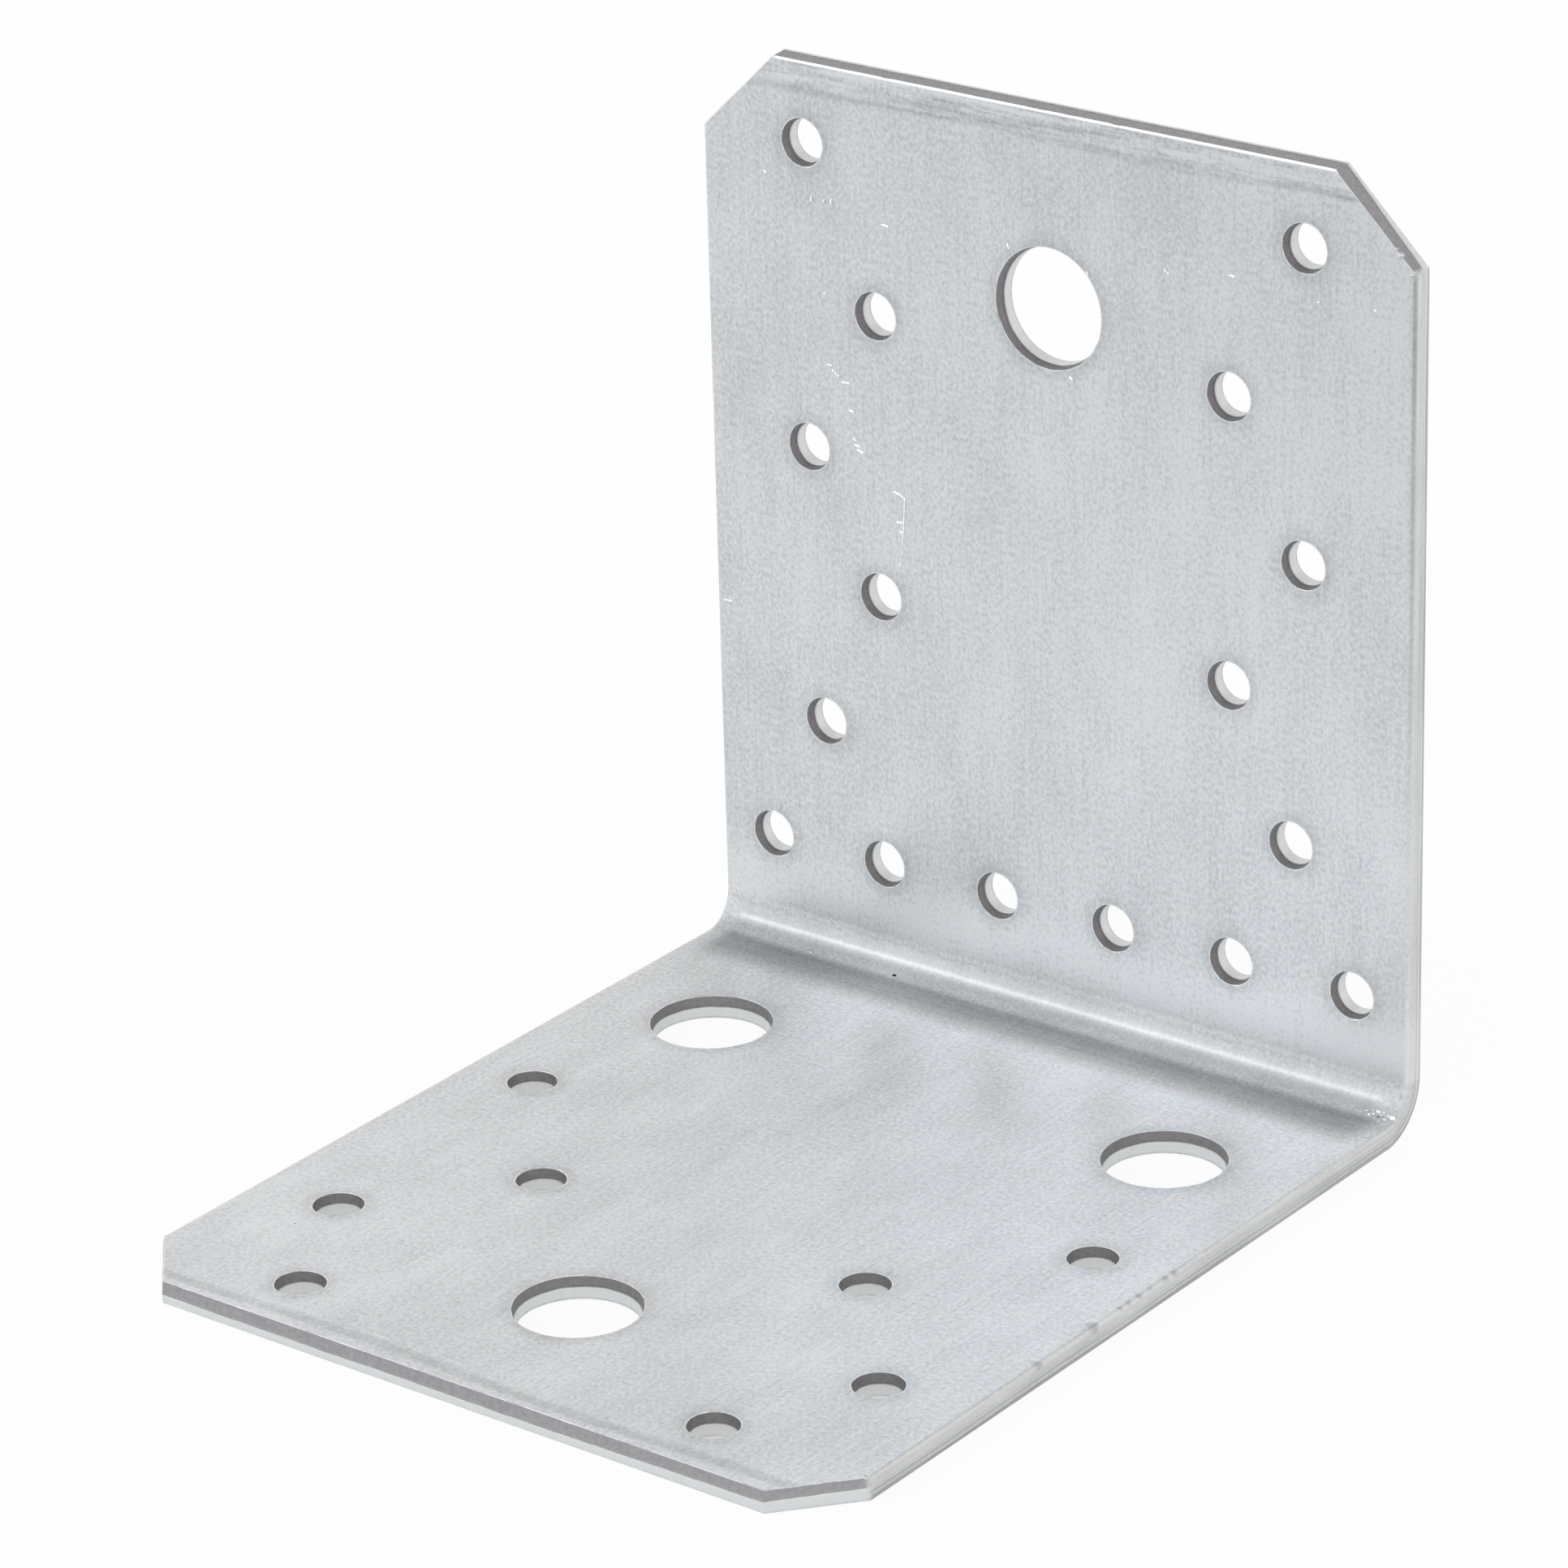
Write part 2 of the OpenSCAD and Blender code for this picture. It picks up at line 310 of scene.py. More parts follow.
def set_mitres(bm, out):
    """Gives each corner of the outline the step that moves it out by one millimetre from both its edges."""
    middle = Vector((0.0, (UP_END + LIE_END) / 2, 0.0))
    for corner in bm.verts:
        normals = []
        for edge in corner.link_edges:
            run = (edge.other_vert(corner).co - corner.co).normalized()
            normal = Vector((run.y, -run.x, 0.0))
            normals.append(normal if normal.dot(corner.co - middle) > 0 else -normal)
        both = (normals[0] + normals[1]).normalized()
        corner[out] = both / both.dot(normals[0])


def outline_edges(bm, out, root, kind):
    """The finely divided outline, with each point's place, way out and sort of edge."""
    cut_blank(bm)
    set_mitres(bm, out)
    for edge in bm.edges[:]:
        pieces = max(1, round(edge.calc_length() / EDGE_PITCH))
        bmesh.ops.subdivide_edges(bm, edges=[edge], cuts=pieces - 1)
    for point in bm.verts:
        point[root] = point.co
        rolled = HALF_W - abs(point.co.x) < AT_EDGE
        at_corner = rolled and min(UP_END - UP_CUT[1] - point.co.y, point.co.y - LIE_END - LIE_CUT[1]) < AT_EDGE
        point[kind] = 0.5 if at_corner else 0.0 if rolled else 1.0
    return bm.edges[:]


def hole_edges(bm, out, root, kind, place, radius):
    """The finely divided rim of one punched hole."""
    rim = bmesh.ops.create_circle(
        bm, cap_ends=False, radius=radius, segments=HOLE_SIDES[radius],
        matrix=Matrix.Translation((place[0], place[1], 0.0)))
    centre = Vector((place[0], place[1], 0.0))
    for point in rim["verts"]:
        point[root] = point.co
        point[out] = (centre - point.co).normalized()
        point[kind] = 2.0
    return list({edge for point in rim["verts"] for edge in point.link_edges})


def rim_facet(place, hole):
    """How broad the shiny facet at the torn rim is: broad along the top edge, patchy round the holes."""
    base, swing, pitch, layer = HOLE_FACET if hole else TOP_FACET if place.y > UP_END - AT_END else CUT_FACET
    return max(0.0, base + swing * wave(place.x, place.y, 0, pitch, layer))


def torn_line(place, hole):
    """The height on a cut wall where its torn part ends and its clean part starts."""
    uneven = waves(place.x, place.y, 0, LINE_WAVES)
    if hole:
        return HOLE_LINE + uneven
    rise = min(max((place.x - LIE_END_RISE[0]) / (LIE_END_RISE[1] - LIE_END_RISE[0]), 0.0), 1.0)
    lie_end = LIE_END_LINES[0] + (LIE_END_LINES[1] - LIE_END_LINES[0]) * rise
    lie_cut_lines = LIE_CUT_LINES if place.x > 0 else LIE_LEFT_CUT_LINES
    end, lines, cut, way = ((UP_END_LINE, UP_CUT_LINES, UP_CUT, UP_END - place.y) if place.y > 0 else
                            (lie_end, lie_cut_lines, LIE_CUT, place.y - LIE_END))
    share = min(way / cut[1], 1.0)
    return uneven + (end if share < AT_END else lines[0] + (lines[1] - lines[0]) * share)


def cut_step(step, place, hole):
    """Inset and height of one step of a sheared or punched wall, with its burr, tears and uneven line."""
    inset, h, torn, near = CUT_WALL[step]
    u, v = place.x, place.y
    facet = rim_facet(place, hole)
    line = torn_line(place, hole)
    if hole and step > LINE_STEPS[0]:
        inset = HOLE_ROLL_INSET * inset - HOLE_LAND
        h *= HOLE_ROLL_HEIGHT if step > WALL_STEPS[1] else 1.0
    if TORN_STEPS[0] <= step <= LINE_STEPS[0]:
        h = SHEET_T - (SHEET_T - h) * (SHEET_T - line) / (SHEET_T - WALL_LINE)
    elif step >= LINE_STEPS[1]:
        h *= (line - LINE_STEP) / (WALL_LINE - WALL_LINE_STEP)
    if step in BURR_STEPS:
        lip = max(0.0, BURR_BASE + waves(u, v, 0, BURR_WAVES))
        h += BURR_HEIGHT * lip * (1 - BURR_CALM * min(facet, 1)) + FACET_LIFT * facet
    if step in RIM_STEPS:
        at_top = step == RIM_STEPS[0]
        inset += FACET_WIDE * facet * (1 if at_top else -FACET_BACK)
        h -= 0.0 if at_top else FACET_DROP * facet
        inset += NICK_DEEP * max(0.0, wave(u, v, 0, NICK_PITCH, NICK_LAYER) - NICK_RARE)
    if step in TORN_STEPS:
        h -= TORN_DROP * facet if step == TORN_STEPS[0] else 0.0
        inset += waves(u, v, h, TEAR_WAVES)
    return inset if hole else max(inset, 0.0), h, torn, near


def rolled_step(step, place):
    """Inset and height of one step of a long, rolled edge."""
    inset, h = ROLLED_WALL[step]
    if ROLL_STEPS[0] <= step < ROLL_STEPS[1]:
        inset += ROLL_UNEVEN * wave(place.x, place.y, h, ROLL_PITCH, ROLL_LAYER) + ROLL_UNEVEN
    return inset, h


def place_ring(points, step, layers):
    """Sets the points of one ring of a wall where its section says."""
    for point in points:
        place, way_out, sort = point[layers["root"]], point[layers["out"]], point[layers["kind"]]
        cut_inset, cut_h, torn, near = cut_step(step, place, sort > 1.5)
        rolled_inset, rolled_h = rolled_step(step, place)
        share = min(sort, 1.0)
        inset = cut_inset * share + rolled_inset * (1 - share)
        h = cut_h * share + rolled_h * (1 - share)
        spot = place - way_out * inset
        point.co = (spot.x, spot.y, h)
        point[layers["torn"]] = torn * share
        point[layers["near"]] = near if sort > 1.5 else 0.0
        point[layers["wall"]] = share if WALL_STEPS[0] <= step <= WALL_STEPS[1] else 0.0
        point[layers["hole"]] = 1.0 if sort > 1.5 and step > 0 else 0.0
        point[layers["bright"]] = FACET_BRIGHT * share if step in RIM_STEPS else 0.0


def pull_walls(bm, edges, layers):
    """Pulls the loops of edges through the sheet's thickness, and returns the first and the last ones."""
    place_ring({point for edge in edges for point in edge.verts}, 0, layers)
    first = edges
    for step in range(1, len(CUT_WALL)):
        made = bmesh.ops.extrude_edge_only(bm, edges=edges)["geom"]
        place_ring([part for part in made if isinstance(part, bmesh.types.BMVert)], step, layers)
        edges = [part for part in made if isinstance(part, bmesh.types.BMEdge) and part.is_boundary]
    return first, edges


def fold_lines(bm):
    """Cuts the flat sheet across at each step of the fold, from its two ends inwards."""
    zone = bm.verts[:] + bm.edges[:] + bm.faces[:]
    for step in sorted(range(FOLD_STEPS + 1), key=lambda step: step % FOLD_STEPS):
        v = HALF_FOLD * (2 * step / FOLD_STEPS - 1)
        zone = bmesh.ops.bisect_plane(
            bm, geom=zone, dist=WELD, plane_co=(0, v, 0), plane_no=(0, 1, 0))["geom"]
        if step == FOLD_STEPS:
            faces = [part for part in zone if isinstance(part, bmesh.types.BMFace)
                     and abs(part.calc_center_median().y) < HALF_FOLD]
            edges = {edge for face in faces for edge in face.edges}
            points = {point for face in faces for point in face.verts}
            zone = faces + list(edges) + list(points)


def hole_places():
    """Place and radius of every hole on the blank."""
    for side in (1, -1):
        for x, z in UP_NAILS:
            yield (side * x, blank_place_up(z)), NAIL_R
        for x, y in LIE_NAILS:
            yield (side * x, blank_place_lie(y)), NAIL_R
        yield (side * LIE_NEAR_BOLT[0], blank_place_lie(LIE_NEAR_BOLT[1])), BOLT_R
    yield (0.0, blank_place_up(UP_BOLT_Z)), BOLT_R
    yield (0.0, blank_place_lie(LIE_FAR_BOLT_Y)), BOLT_R


def mark_place(start, end):
    """Where a mark between two places of the blank lies, turned along it, and its length."""
    run = Vector(end) - Vector(start)
    middle = (Vector(start) + Vector(end)) / 2
    turn = Matrix.Rotation(math.atan2(run.y, run.x), 4, "Z")
    return Matrix.Translation((middle.x, middle.y, SHEET_T)) @ turn, run.length


def raise_speck(bm, start, end, width, height):
    """A low four-sided point on the inner face, long between two places of the blank."""
    place, length = mark_place(start, end)
    size = Matrix.Diagonal((length / 2 + width / 2, width / 2, height, 1.0))
    lift = Matrix.Translation((0, 0, height / 2 - MARK_SINK))
    return bmesh.ops.create_cone(bm, cap_ends=True, segments=4, radius1=1.0, radius2=0.0, depth=1.0,
                                 matrix=place @ lift @ size)["verts"]


def raise_wedges(bm, start, end, width, slope):
    """A bright mark: small wedges in a row that slope along v, so that they catch the light."""
    start, end = Vector(start), Vector(end)
    count = max(1, round(abs(end.y - start.y) / WEDGE_LONG))
    points = []
    for part in range(count):
        place, length = mark_place(start.lerp(end, part / count), start.lerp(end, (part + 1) / count))
        size = Matrix.Diagonal((max(length, WEDGE_BROAD * width), width, MARK_DEEP, 1.0))
        made = bmesh.ops.create_cube(bm, size=1.0, matrix=place @ size)["verts"]
        foot = max(slope * point.co.y for point in made)
        for point in made:
            if point.co.z > SHEET_T:
                point.co.z = SHEET_T + MARK_SINK + foot - slope * point.co.y
        points += made
    return points


def add_marks(bm, bright, speck):
    """The few scratches, flecks, specks and beads on the inner faces."""
    for x1, z1, x2, z2, strength in SCRATCHES:
        start, end = (x1, blank_place_up(z1)), (x2, blank_place_up(z2))
        for point in raise_wedges(bm, start, end, SCRATCH_WIDTH, MARK_SLOPE):
            point[bright] = strength
    for u, v, radius, strength in FLECKS:
        slope = MARK_SLOPE if v > HALF_FOLD else -FLECK_SLOPE
        for point in raise_wedges(bm, (u - radius, v), (u + radius, v), FLECK_BROAD * radius, slope):
            point[bright] = strength
    for u, v, radius, strength in SPECKS:
        for point in raise_speck(bm, (u - radius / 2, v), (u + radius / 2, v), 2 * radius, SPECK_HEIGHT):
            point[speck] = strength
    for point in raise_speck(bm, *LONG_SCRATCH, LONG_SCRATCH_WIDTH, SPECK_HEIGHT):
        point[speck] = LONG_SCRATCH_DARK
    for u, v, radius in BEADS:
        shape = Matrix.Diagonal((radius, radius, BEAD_HEIGHT * radius, 1.0))
        bmesh.ops.create_icosphere(bm, subdivisions=3, radius=1.0,
                                   matrix=Matrix.Translation((u, v, SHEET_T)) @ shape)


def make_sheet():
    """The folded sheet: cut, punched, then bent."""
    bm = bmesh.new()
    layers = {name: bm.verts.layers.float_vector.new(name) for name in ("root", "out", "sheet_place")}
    shares = ("kind", "torn", "near", "wall", "hole", "bright", "speck")
    layers.update({name: bm.verts.layers.float.new(name) for name in shares})
    loops = outline_edges(bm, layers["out"], layers["root"], layers["kind"])
    for place, radius in hole_places():
        loops += hole_edges(bm, layers["out"], layers["root"], layers["kind"], place, radius)
    for loop, way in zip(pull_walls(bm, loops, layers), (1.0, -1.0)):
        bmesh.ops.triangle_fill(bm, use_beauty=True, use_dissolve=False, normal=(0, 0, way), edges=loop)
    fold_lines(bm)
    bmesh.ops.recalc_face_normals(bm, faces=bm.faces[:])
    add_marks(bm, layers["bright"], layers["speck"])
    for point in bm.verts:
        point[layers["sheet_place"]] = point.co
        point.co = folded(*point.co) * MM
    mesh = bpy.data.meshes.new("bracket_sheet")
    bm.to_mesh(mesh)
    bm.free()
    for name in ("root", "out", "kind"):
        mesh.attributes.remove(mesh.attributes[name])
    mesh.shade_smooth()
    mesh.set_sharp_from_angle(angle=SHARP_ANGLE)
    sheet = bpy.data.objects.new("bracket_sheet", mesh)
    bpy.context.scene.collection.objects.link(sheet)
    weighted = sheet.modifiers.new("flat_faces_first", "WEIGHTED_NORMAL")
    weighted.keep_sharp = True
    return sheet


def add(tree, kind, inputs=None, **settings):
    """A node with its settings, and each input set or linked."""
    node = tree.nodes.new(kind)
    for name, value in settings.items():
        setattr(node, name, value)
    for name, value in (inputs or {}).items():
        if isinstance(value, bpy.types.NodeSocket):
            tree.links.new(value, node.inputs[name])
        else:
            node.inputs[name].default_value = value
    return node


def calc(tree, work, a, b=0.0, c=0.0):
    return add(tree, "ShaderNodeMath", {0: a, 1: b, 2: c}, operation=work).outputs[0]


def blend_colour(tree, share, a, b):
    node = add(tree, "ShaderNodeMix", {0: share, 6: a, 7: b}, data_type="RGBA")
    return node.outputs[2]


def ramp(tree, value, low, high, to_low=0.0, to_high=1.0):
    limits = {"Value": value, "From Min": low, "From Max": high, "To Min": to_low, "To Max": to_high}
    return add(tree, "ShaderNodeMapRange", limits).outputs[0]


def grain(tree, place, stretch, scale, detail=2.0, rough=0.5):
    """Noise from 0 to 1 on the sheet's own coordinates, stretched along one of them."""
    scaled = add(tree, "ShaderNodeVectorMath", {0: place, 1: stretch}, operation="MULTIPLY").outputs[0]
    return add(tree, "ShaderNodeTexNoise",
               {"Vector": scaled, "Scale": scale, "Detail": detail, "Roughness": rough}).outputs[0]


def attribute(tree, name, vector=False):
    node = add(tree, "ShaderNodeAttribute", attribute_name=name)
    return node.outputs["Vector" if vector else "Fac"]


def band(tree, value, start, full, until, end):
    """1 between full and until, running out softly to 0 at start and at end."""
    rise = add(tree, "ShaderNodeMapRange", {"Value": value, "From Min": start, "From Max": full},
               interpolation_type="SMOOTHSTEP").outputs[0]
    fall = add(tree, "ShaderNodeMapRange", {"Value": value, "From Min": end, "From Max": until},
               interpolation_type="SMOOTHSTEP").outputs[0]
    return calc(tree, "MULTIPLY", rise, fall)


def product(tree, *values):
    result = values[0]
    for value in values[1:]:
        result = calc(tree, "MULTIPLY", result, value)
    return result


def total(tree, *values):
    result = values[0]
    for value in values[1:]:
        result = calc(tree, "ADD", result, value)
    return result


def fold_shade_and_wear(tree, u, v, inner, along):
    """How much shade is painted on the fold, how rough it is, and where it is smooth: painted shade on its
    lying side and in its upper part, rough at its ends.
    """
    across = band(tree, u, *FOLD_ACROSS)
    pressed_shade_and_rough = product(tree, inner, band(tree, v, *FOLD_PRESSED_SHADE_AND_ROUGH))
    # The upper band, and the pressed band darker in streaks, are painted shade
    upper_shade = calc(tree, "MULTIPLY", band(tree, v, *FOLD_UPPER_SHADE), UPPER_PAINTED_SHADE)
    lower_shade = calc(tree, "MULTIPLY", pressed_shade_and_rough, calc(tree, "MULTIPLY_ADD", along, PRESSED_PAINTED_SHADE, PRESSED_PAINTED_SHADE))
    fold_shade = product(tree, across, inner, calc(tree, "ADD", upper_shade, lower_shade))
    smooth = product(tree, inner, across, band(tree, v, *FOLD_SMOOTH))
    ends = product(tree, calc(tree, "SUBTRACT", 1.0, across), band(tree, v, *FOLD_ENDS))
    rough = total(tree, calc(tree, "MULTIPLY", pressed_shade_and_rough, PRESSED_ROUGH),
                  calc(tree, "MULTIPLY", smooth, SMOOTH_ROUGH), calc(tree, "MULTIPLY", ends, ENDS_ROUGH))
    return fold_shade, rough, smooth


def waver(tree, way, turn, size):
    """A slow wave along one of the sheet's ways."""
    return calc(tree, "MULTIPLY", calc(tree, "SINE", calc(tree, "MULTIPLY", way, turn)), size)


def end_bands(tree, u, v, inner, middling):
    """Faint dark lines behind the two free ends, where the shear held the sheet."""
    shifted = calc(tree, "ADD", v, waver(tree, u, *SHEAR_WAVER))
    low = calc(tree, "MULTIPLY", band(tree, shifted, *LOW_SHEAR), LOW_SHEAR_DARK)
    high = calc(tree, "MULTIPLY", band(tree, shifted, *HIGH_SHEAR), HIGH_SHEAR_DARK)
    return product(tree, calc(tree, "ADD", low, high), middling, inner)


def rubbed_top(tree, v, inner, along):
    """Streaks rubbed along the top edge, as change of tone."""
    return product(tree, calc(tree, "MULTIPLY_ADD", along, *TOP_STREAKS), band(tree, v, *TOP_RUBBED), inner)


def side_marks_and_shade(tree, place, across, v, h, middling):
    """Scuffs on the rolled edges, the thin lines along their walls, and painted shade low on the lying flange's
    walls.
    """
    scuffs = calc(tree, "MULTIPLY", blobs(tree, place, SCUFFS), ramp(tree, middling, 0.3, 0.55, 0.5, 1.2))
    level = calc(tree, "ADD", h, waver(tree, v, *WALL_WAVER))
    lines = [calc(tree, "MULTIPLY", band(tree, level, *steps), depth) for steps, depth in WALL_LINES]
    # Painted shade on the lowest part of the lying flange's walls, fading in away from the fold
    low = calc(tree, "MULTIPLY", band(tree, level, *LYING_WALL_SHADE_BAND),
               ramp(tree, v, 0.0, -8.0, 0.0, LYING_WALL_PAINTED_SHADE))
    streaks = ramp(tree, grain(tree, place, (0.0, 0.03, 4.0), 1.0, 2.0, 0.6), 0.45, 0.7)
    on_wall = ramp(tree, across, HALF_W - 0.06, HALF_W - 0.04)
    marks = calc(tree, "MULTIPLY_ADD", streaks, WALL_STREAK_DARK, total(tree, *lines, low))
    return calc(tree, "ADD", scuffs, calc(tree, "MULTIPLY", on_wall, marks))


def blobs(tree, place, rows):
    """Soft round patches on the inner face, each with its own amount."""
    changes = []
    for u, v, radius, amount in rows:
        gap = add(tree, "ShaderNodeVectorMath", {0: place, 1: (u, v, SHEET_T)}, operation="DISTANCE")
        changes.append(ramp(tree, gap.outputs["Value"], radius, 0.2 * radius, 0.0, amount))
    return total(tree, *changes)


def zinc_level(tree, place, fine, near):
    """How much light each spot of the zinc reflects, with painted light and shade in it, its place across, its
    added roughness and smoothness.
    """
    u, v, h = add(tree, "ShaderNodeSeparateXYZ", {0: place}).outputs
    across = calc(tree, "ABSOLUTE", u)
    inner = ramp(tree, h, 2.2, 2.42)
    cloud = grain(tree, place, (1.0, 0.6, 1.0), 0.13, 3.0, 0.6)
    streak = grain(tree, place, (1.0, 0.05, 1.0), 1.7, 1.0, 0.5)
    middling = grain(tree, place, (1.0, 0.6, 1.0), 0.6, 3.0, 0.65)
    along = grain(tree, place, (0.1, 1.5, 1.0), 1.0, 3.0, 0.6)
    fold_shade, rough, smooth = fold_shade_and_wear(tree, u, v, inner, along)
    calm = calc(tree, "MULTIPLY",
                ramp(tree, across, HALF_W - 0.5, HALF_W - 0.1, FINE_SHARE, 0.4 * FINE_SHARE),
                calc(tree, "MULTIPLY_ADD", smooth, -0.5, 1.0))
    # The tone holds painted light and shade: the broad patches, and the band just above the fold painted
    # lighter
    tone = total(tree, product(tree, calc(tree, "SUBTRACT", fine, 0.5), calm),
                 calc(tree, "MULTIPLY_ADD", cloud, CLOUD_SHARE, -CLOUD_SHARE / 2),
                 calc(tree, "MULTIPLY_ADD", streak, STREAK_SHARE, -STREAK_SHARE / 2),
                 rubbed_top(tree, v, inner, along), blobs(tree, place, TONE_LIGHT_AND_SHADE_PATCHES),
                 calc(tree, "MULTIPLY", band(tree, v, *ABOVE_FOLD_LIT_BAND), ABOVE_FOLD_PAINTED_LIGHT), 1.0)
    # The darkening holds painted shade low on the lying flange's walls, besides the halos, shear lines, scuffs,
    # wall lines and specks
    dark = total(tree, product(tree, near, middling, HALO_SHARE), end_bands(tree, u, v, inner, middling),
                 side_marks_and_shade(tree, place, across, v, h, middling), attribute(tree, "speck"))
    # The fold's painted shade darkens the zinc here
    kept = calc(tree, "MULTIPLY", calc(tree, "SUBTRACT", 1.0, dark), calc(tree, "SUBTRACT", 1.0, fold_shade))
    return product(tree, tone, kept, ZINC_LEVEL), across, rough, smooth


def new_material(name):
    """A material without nodes, and its node tree."""
    material = bpy.data.materials.new(name)
    material.use_nodes = True
    material.node_tree.nodes.clear()
    return material, material.node_tree


def galvanised_material():
    """Zinc-coated sheet: grained faces with their wear and their painted light and shade, torn and burnished
    cuts.
    """
    material, tree = new_material("galvanised_sheet_worn_and_shaded")
    place = attribute(tree, "sheet_place", vector=True)
    torn, wall, near, hole = (attribute(tree, name) for name in ("torn", "wall", "near", "hole"))
    fine = grain(tree, place, (1.0, 0.75, 1.0), 2.4, 3.0, 0.65)
    level, across, rough, smooth = zinc_level(tree, place, fine, near)
    bright = attribute(tree, "bright")
    level = calc(tree, "ADD", level, calc(tree, "MULTIPLY", bright, BRIGHT_GAIN))
    tint = blend_colour(tree, ramp(tree, across, HALF_W - 0.6, HALF_W - 0.3), ZINC_COLOUR, ROLLED_COLOUR)
    zinc = blend_colour(tree, level, BLACK, tint)
    cross = grain(tree, place, (1.0, 1.0, 0.12), 2.2, 2.0, 0.6)
    clean = blend_colour(tree, cross, *CLEAN_COLOURS)
    steel = blend_colour(tree, fine, *TORN_COLOURS)
    steel_in_hole = blend_colour(tree, fine, *HOLE_TORN_COLOURS)
    steel = blend_colour(tree, hole, steel, steel_in_hole)
    cut = blend_colour(tree, torn, clean, steel)
    colour = blend_colour(tree, wall, zinc, cut)
    roughness = total(tree, calc(tree, "MULTIPLY_ADD", fine, GRAIN_ROUGH, ZINC_ROUGH),
                      calc(tree, "MULTIPLY", torn, TORN_ROUGH), calc(tree, "MULTIPLY", wall, WALL_ROUGH),
                      product(tree, rough, calc(tree, "SUBTRACT", 1.0, bright)),
                      calc(tree, "MULTIPLY", bright, -FACET_SMOOTH))
    relief = calc(tree, "MULTIPLY_ADD", torn, BUMP_TORN,
                  calc(tree, "MULTIPLY_ADD", smooth, BUMP_SMOOTH, BUMP_ZINC))
    height = calc(tree, "MULTIPLY", fine, relief)
    bump = add(tree, "ShaderNodeBump", {"Strength": BUMP_STRENGTH, "Distance": BUMP_DEEP, "Height": height})
    shader = add(tree, "ShaderNodeBsdfPrincipled",
                 {"Base Color": colour, "Metallic": 1.0, "Roughness": roughness, "Normal": bump.outputs[0]})
    add(tree, "ShaderNodeOutputMaterial", {"Surface": shader.outputs[0]})
    return material


def shaded_floor():
    """The bits of floor at the bottom of the lying nail holes, with shade painted on them towards the walls."""
    bm = bmesh.new()
    shade = bm.verts.layers.float.new("shade")
    for x, y in LIE_NAILS:
        for side in (1, -1):
            disc = bmesh.ops.create_circle(bm, cap_ends=True, cap_tris=True, radius=SHADE_R * MM, segments=32,
                                           matrix=Matrix.Translation((side * x * MM, y * MM, SHADE_Z)))["verts"]
            for point in disc:
                point[shade] = 1.0 if len(point.link_edges) < 4 else 0.0
    material, tree = new_material("floor_in_shade")
    # Painted shade: the camera sees the disc white in its middle, fading to the dimmer glow towards its rim,
    # and the metal sees it dim all over
    lit = calc(tree, "MULTIPLY", light_path_seen(tree, 0.0),
               ramp(tree, attribute(tree, "shade"), *SHADE_FADE, 1.0, 0.0))
    mixed = add(tree, "ShaderNodeMixShader",
                {0: lit, 1: glowing_matt(tree, SHADE_GLOW, SHADE_MATT),
                 2: glowing_matt(tree, FLOOR_GLOW, FLOOR_MATT)})
    add(tree, "ShaderNodeOutputMaterial", {"Surface": mixed.outputs[0]})
    return stage_piece(bm, "floor_in_holes", material)


def glowing_matt(tree, strength, share):
    """A surface that glows by itself and adds a share of the light that falls on it."""
    glow = add(tree, "ShaderNodeEmission", {"Color": (1, 1, 1, 1), "Strength": strength})
    matt = add(tree, "ShaderNodeBsdfDiffuse", {"Color": (share, share, share, 1)})
    return add(tree, "ShaderNodeAddShader", {0: glow.outputs[0], 1: matt.outputs[0]}).outputs[0]


def stage_piece(bm, name, material):
    mesh = bpy.data.meshes.new(name)
    bm.to_mesh(mesh)
    bm.free()
    mesh.materials.append(material)
    piece = bpy.data.objects.new(name, mesh)
    bpy.context.scene.collection.objects.link(piece)
    return piece


def pale_floor():
    """A white floor that keeps the object's shadow."""
    bm = bmesh.new()
    bmesh.ops.create_grid(bm, x_segments=1, y_segments=1, size=FLOOR_SIZE)
    bmesh.ops.translate(bm, vec=(0, 0, FLOOR_Z), verts=bm.verts[:])
    material, tree = new_material("floor_white")
    spot = add(tree, "ShaderNodeTexCoord").outputs["Object"]
    away = add(tree, "ShaderNodeVectorMath", {0: spot, 1: FLOOR_FADE_WAY},
               operation="DOT_PRODUCT").outputs["Value"]
    depth = add(tree, "ShaderNodeSeparateXYZ", {0: spot}).outputs[1]
    pool = calc(tree, "MULTIPLY", ramp(tree, away, *FLOOR_FADE, *FLOOR_FADE_LEVELS),
                ramp(tree, depth, *FLOOR_FRONT, *FLOOR_FRONT_LEVELS))
    seen = light_path_seen(tree, calc(tree, "MULTIPLY", pool, FLOOR_GLOW_IN_METAL))
    matt = add(tree, "ShaderNodeBsdfDiffuse",
               {"Color": blend_colour(tree, pool, BLACK, FLOOR_COLOUR_IN_METAL)})
    mixed = add(tree, "ShaderNodeMixShader",
                {0: seen, 1: matt.outputs[0], 2: glowing_matt(tree, FLOOR_GLOW, FLOOR_MATT)})
    add(tree, "ShaderNodeOutputMaterial", {"Surface": mixed.outputs[0]})
    return stage_piece(bm, "floor", material)


def light_path_seen(tree, in_metal):
    """1 for rays from the camera or through glass, and a given share for those off metal."""
    path = add(tree, "ShaderNodeLightPath")
    shown = calc(tree, "MAXIMUM", path.outputs["Is Camera Ray"], path.outputs["Is Transmission Ray"])
    return calc(tree, "MAXIMUM", shown, calc(tree, "MULTIPLY", path.outputs["Is Glossy Ray"], in_metal))


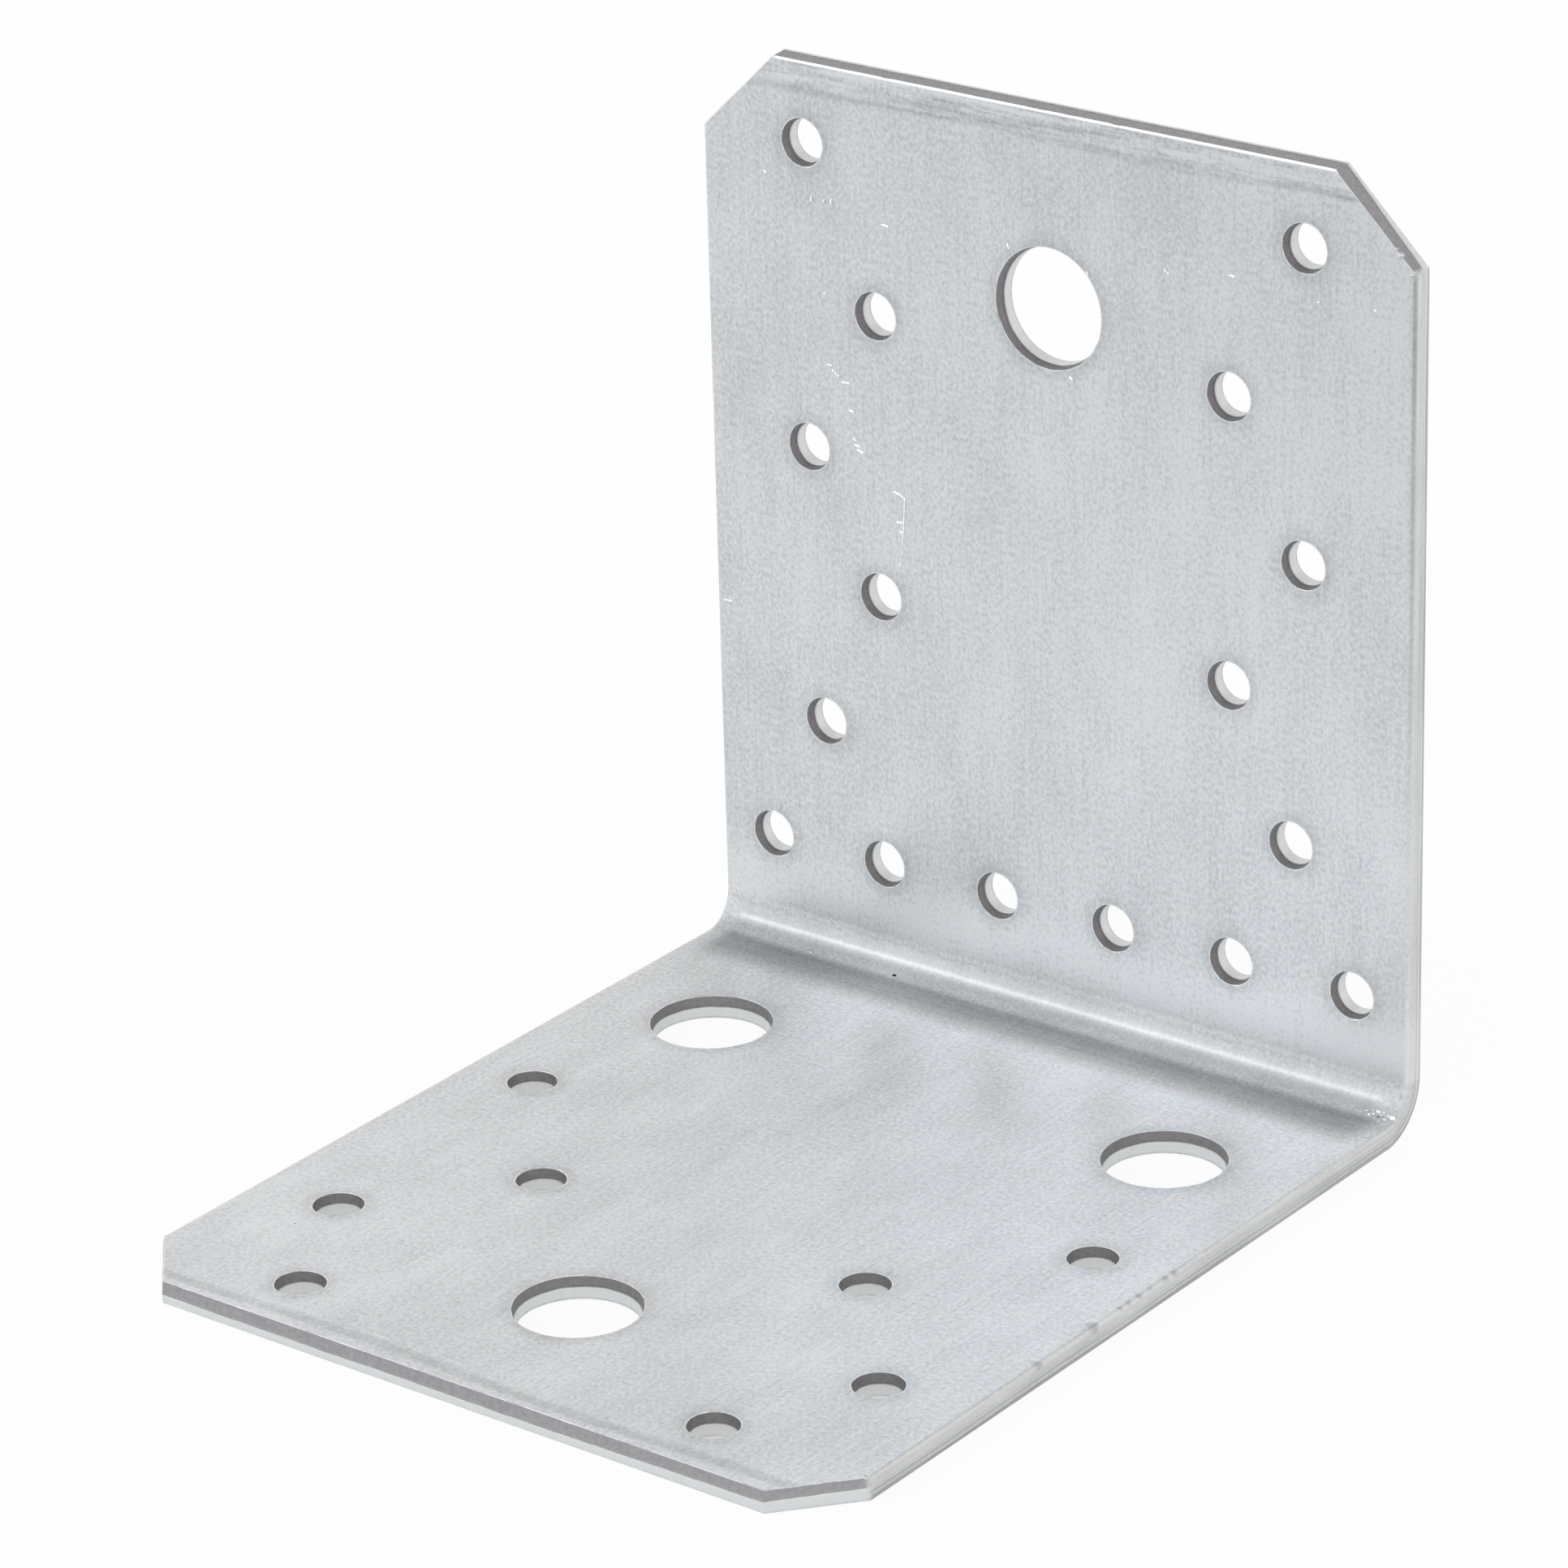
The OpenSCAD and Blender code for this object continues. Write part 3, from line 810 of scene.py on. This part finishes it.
def studio_world():
    world = bpy.data.worlds.new("studio")
    bpy.context.scene.world = world
    world.use_nodes = True
    tree = world.node_tree
    tree.nodes.clear()
    path = add(tree, "ShaderNodeLightPath")
    way = add(tree, "ShaderNodeTexCoord").outputs["Generated"]
    _, depth, height = add(tree, "ShaderNodeSeparateXYZ", {0: way}).outputs
    level = calc(tree, "MULTIPLY", ramp(tree, height, *DOME_HEIGHTS, *DOME_LEVELS),
                 ramp(tree, depth, *DOME_DEPTHS, *DOME_DEPTH_LEVELS))
    tint = blend_colour(tree, ramp(tree, depth, *DOME_DEPTHS), DOME_FRONT_COLOUR, DOME_BACK_COLOUR)
    soft = add(tree, "ShaderNodeBackground", {"Color": tint, "Strength": level})
    white = add(tree, "ShaderNodeBackground", {"Color": (1, 1, 1, 1), "Strength": 1.0})
    mixed = add(tree, "ShaderNodeMixShader",
                {0: path.outputs["Is Camera Ray"], 1: soft.outputs[0], 2: white.outputs[0]})
    add(tree, "ShaderNodeOutputWorld", {"Surface": mixed.outputs[0]})


def soft_light(name, place, size, power, aim):
    lamp = bpy.data.lights.new(name, "AREA")
    lamp.shape = "RECTANGLE"
    lamp.size, lamp.size_y = size
    lamp.energy = power
    held = bpy.data.objects.new(name, lamp)
    bpy.context.scene.collection.objects.link(held)
    held.location = place
    held.rotation_euler = (Vector(aim) - Vector(place)).to_track_quat("-Z", "Y").to_euler()


def photo_camera():
    camera = bpy.data.cameras.new("camera")
    camera.lens, camera.sensor_width = CAMERA_LENS, SENSOR
    camera.clip_start, camera.clip_end = CAMERA_CLIP
    held = bpy.data.objects.new("camera", camera)
    bpy.context.scene.collection.objects.link(held)
    turn = (Matrix.Rotation(CAMERA_AZIMUTH, 4, "Z") @ Matrix.Rotation(math.pi / 2 - CAMERA_ELEVATION, 4, "X")
            @ Matrix.Rotation(CAMERA_ROLL, 4, "Z"))
    held.matrix_world = Matrix.Translation(CAMERA_PLACE) @ turn
    bpy.context.scene.camera = held


photo_camera()
sheet = make_sheet()
sheet.data.materials.append(galvanised_material())
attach(sheet, "root")
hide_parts("bracket")
pale_floor()
shaded_floor()
studio_world()
soft_light("key", KEY_PLACE, KEY_SIZE, KEY_POWER, KEY_AIM)
bpy.context.scene.view_settings.view_transform = "Standard"
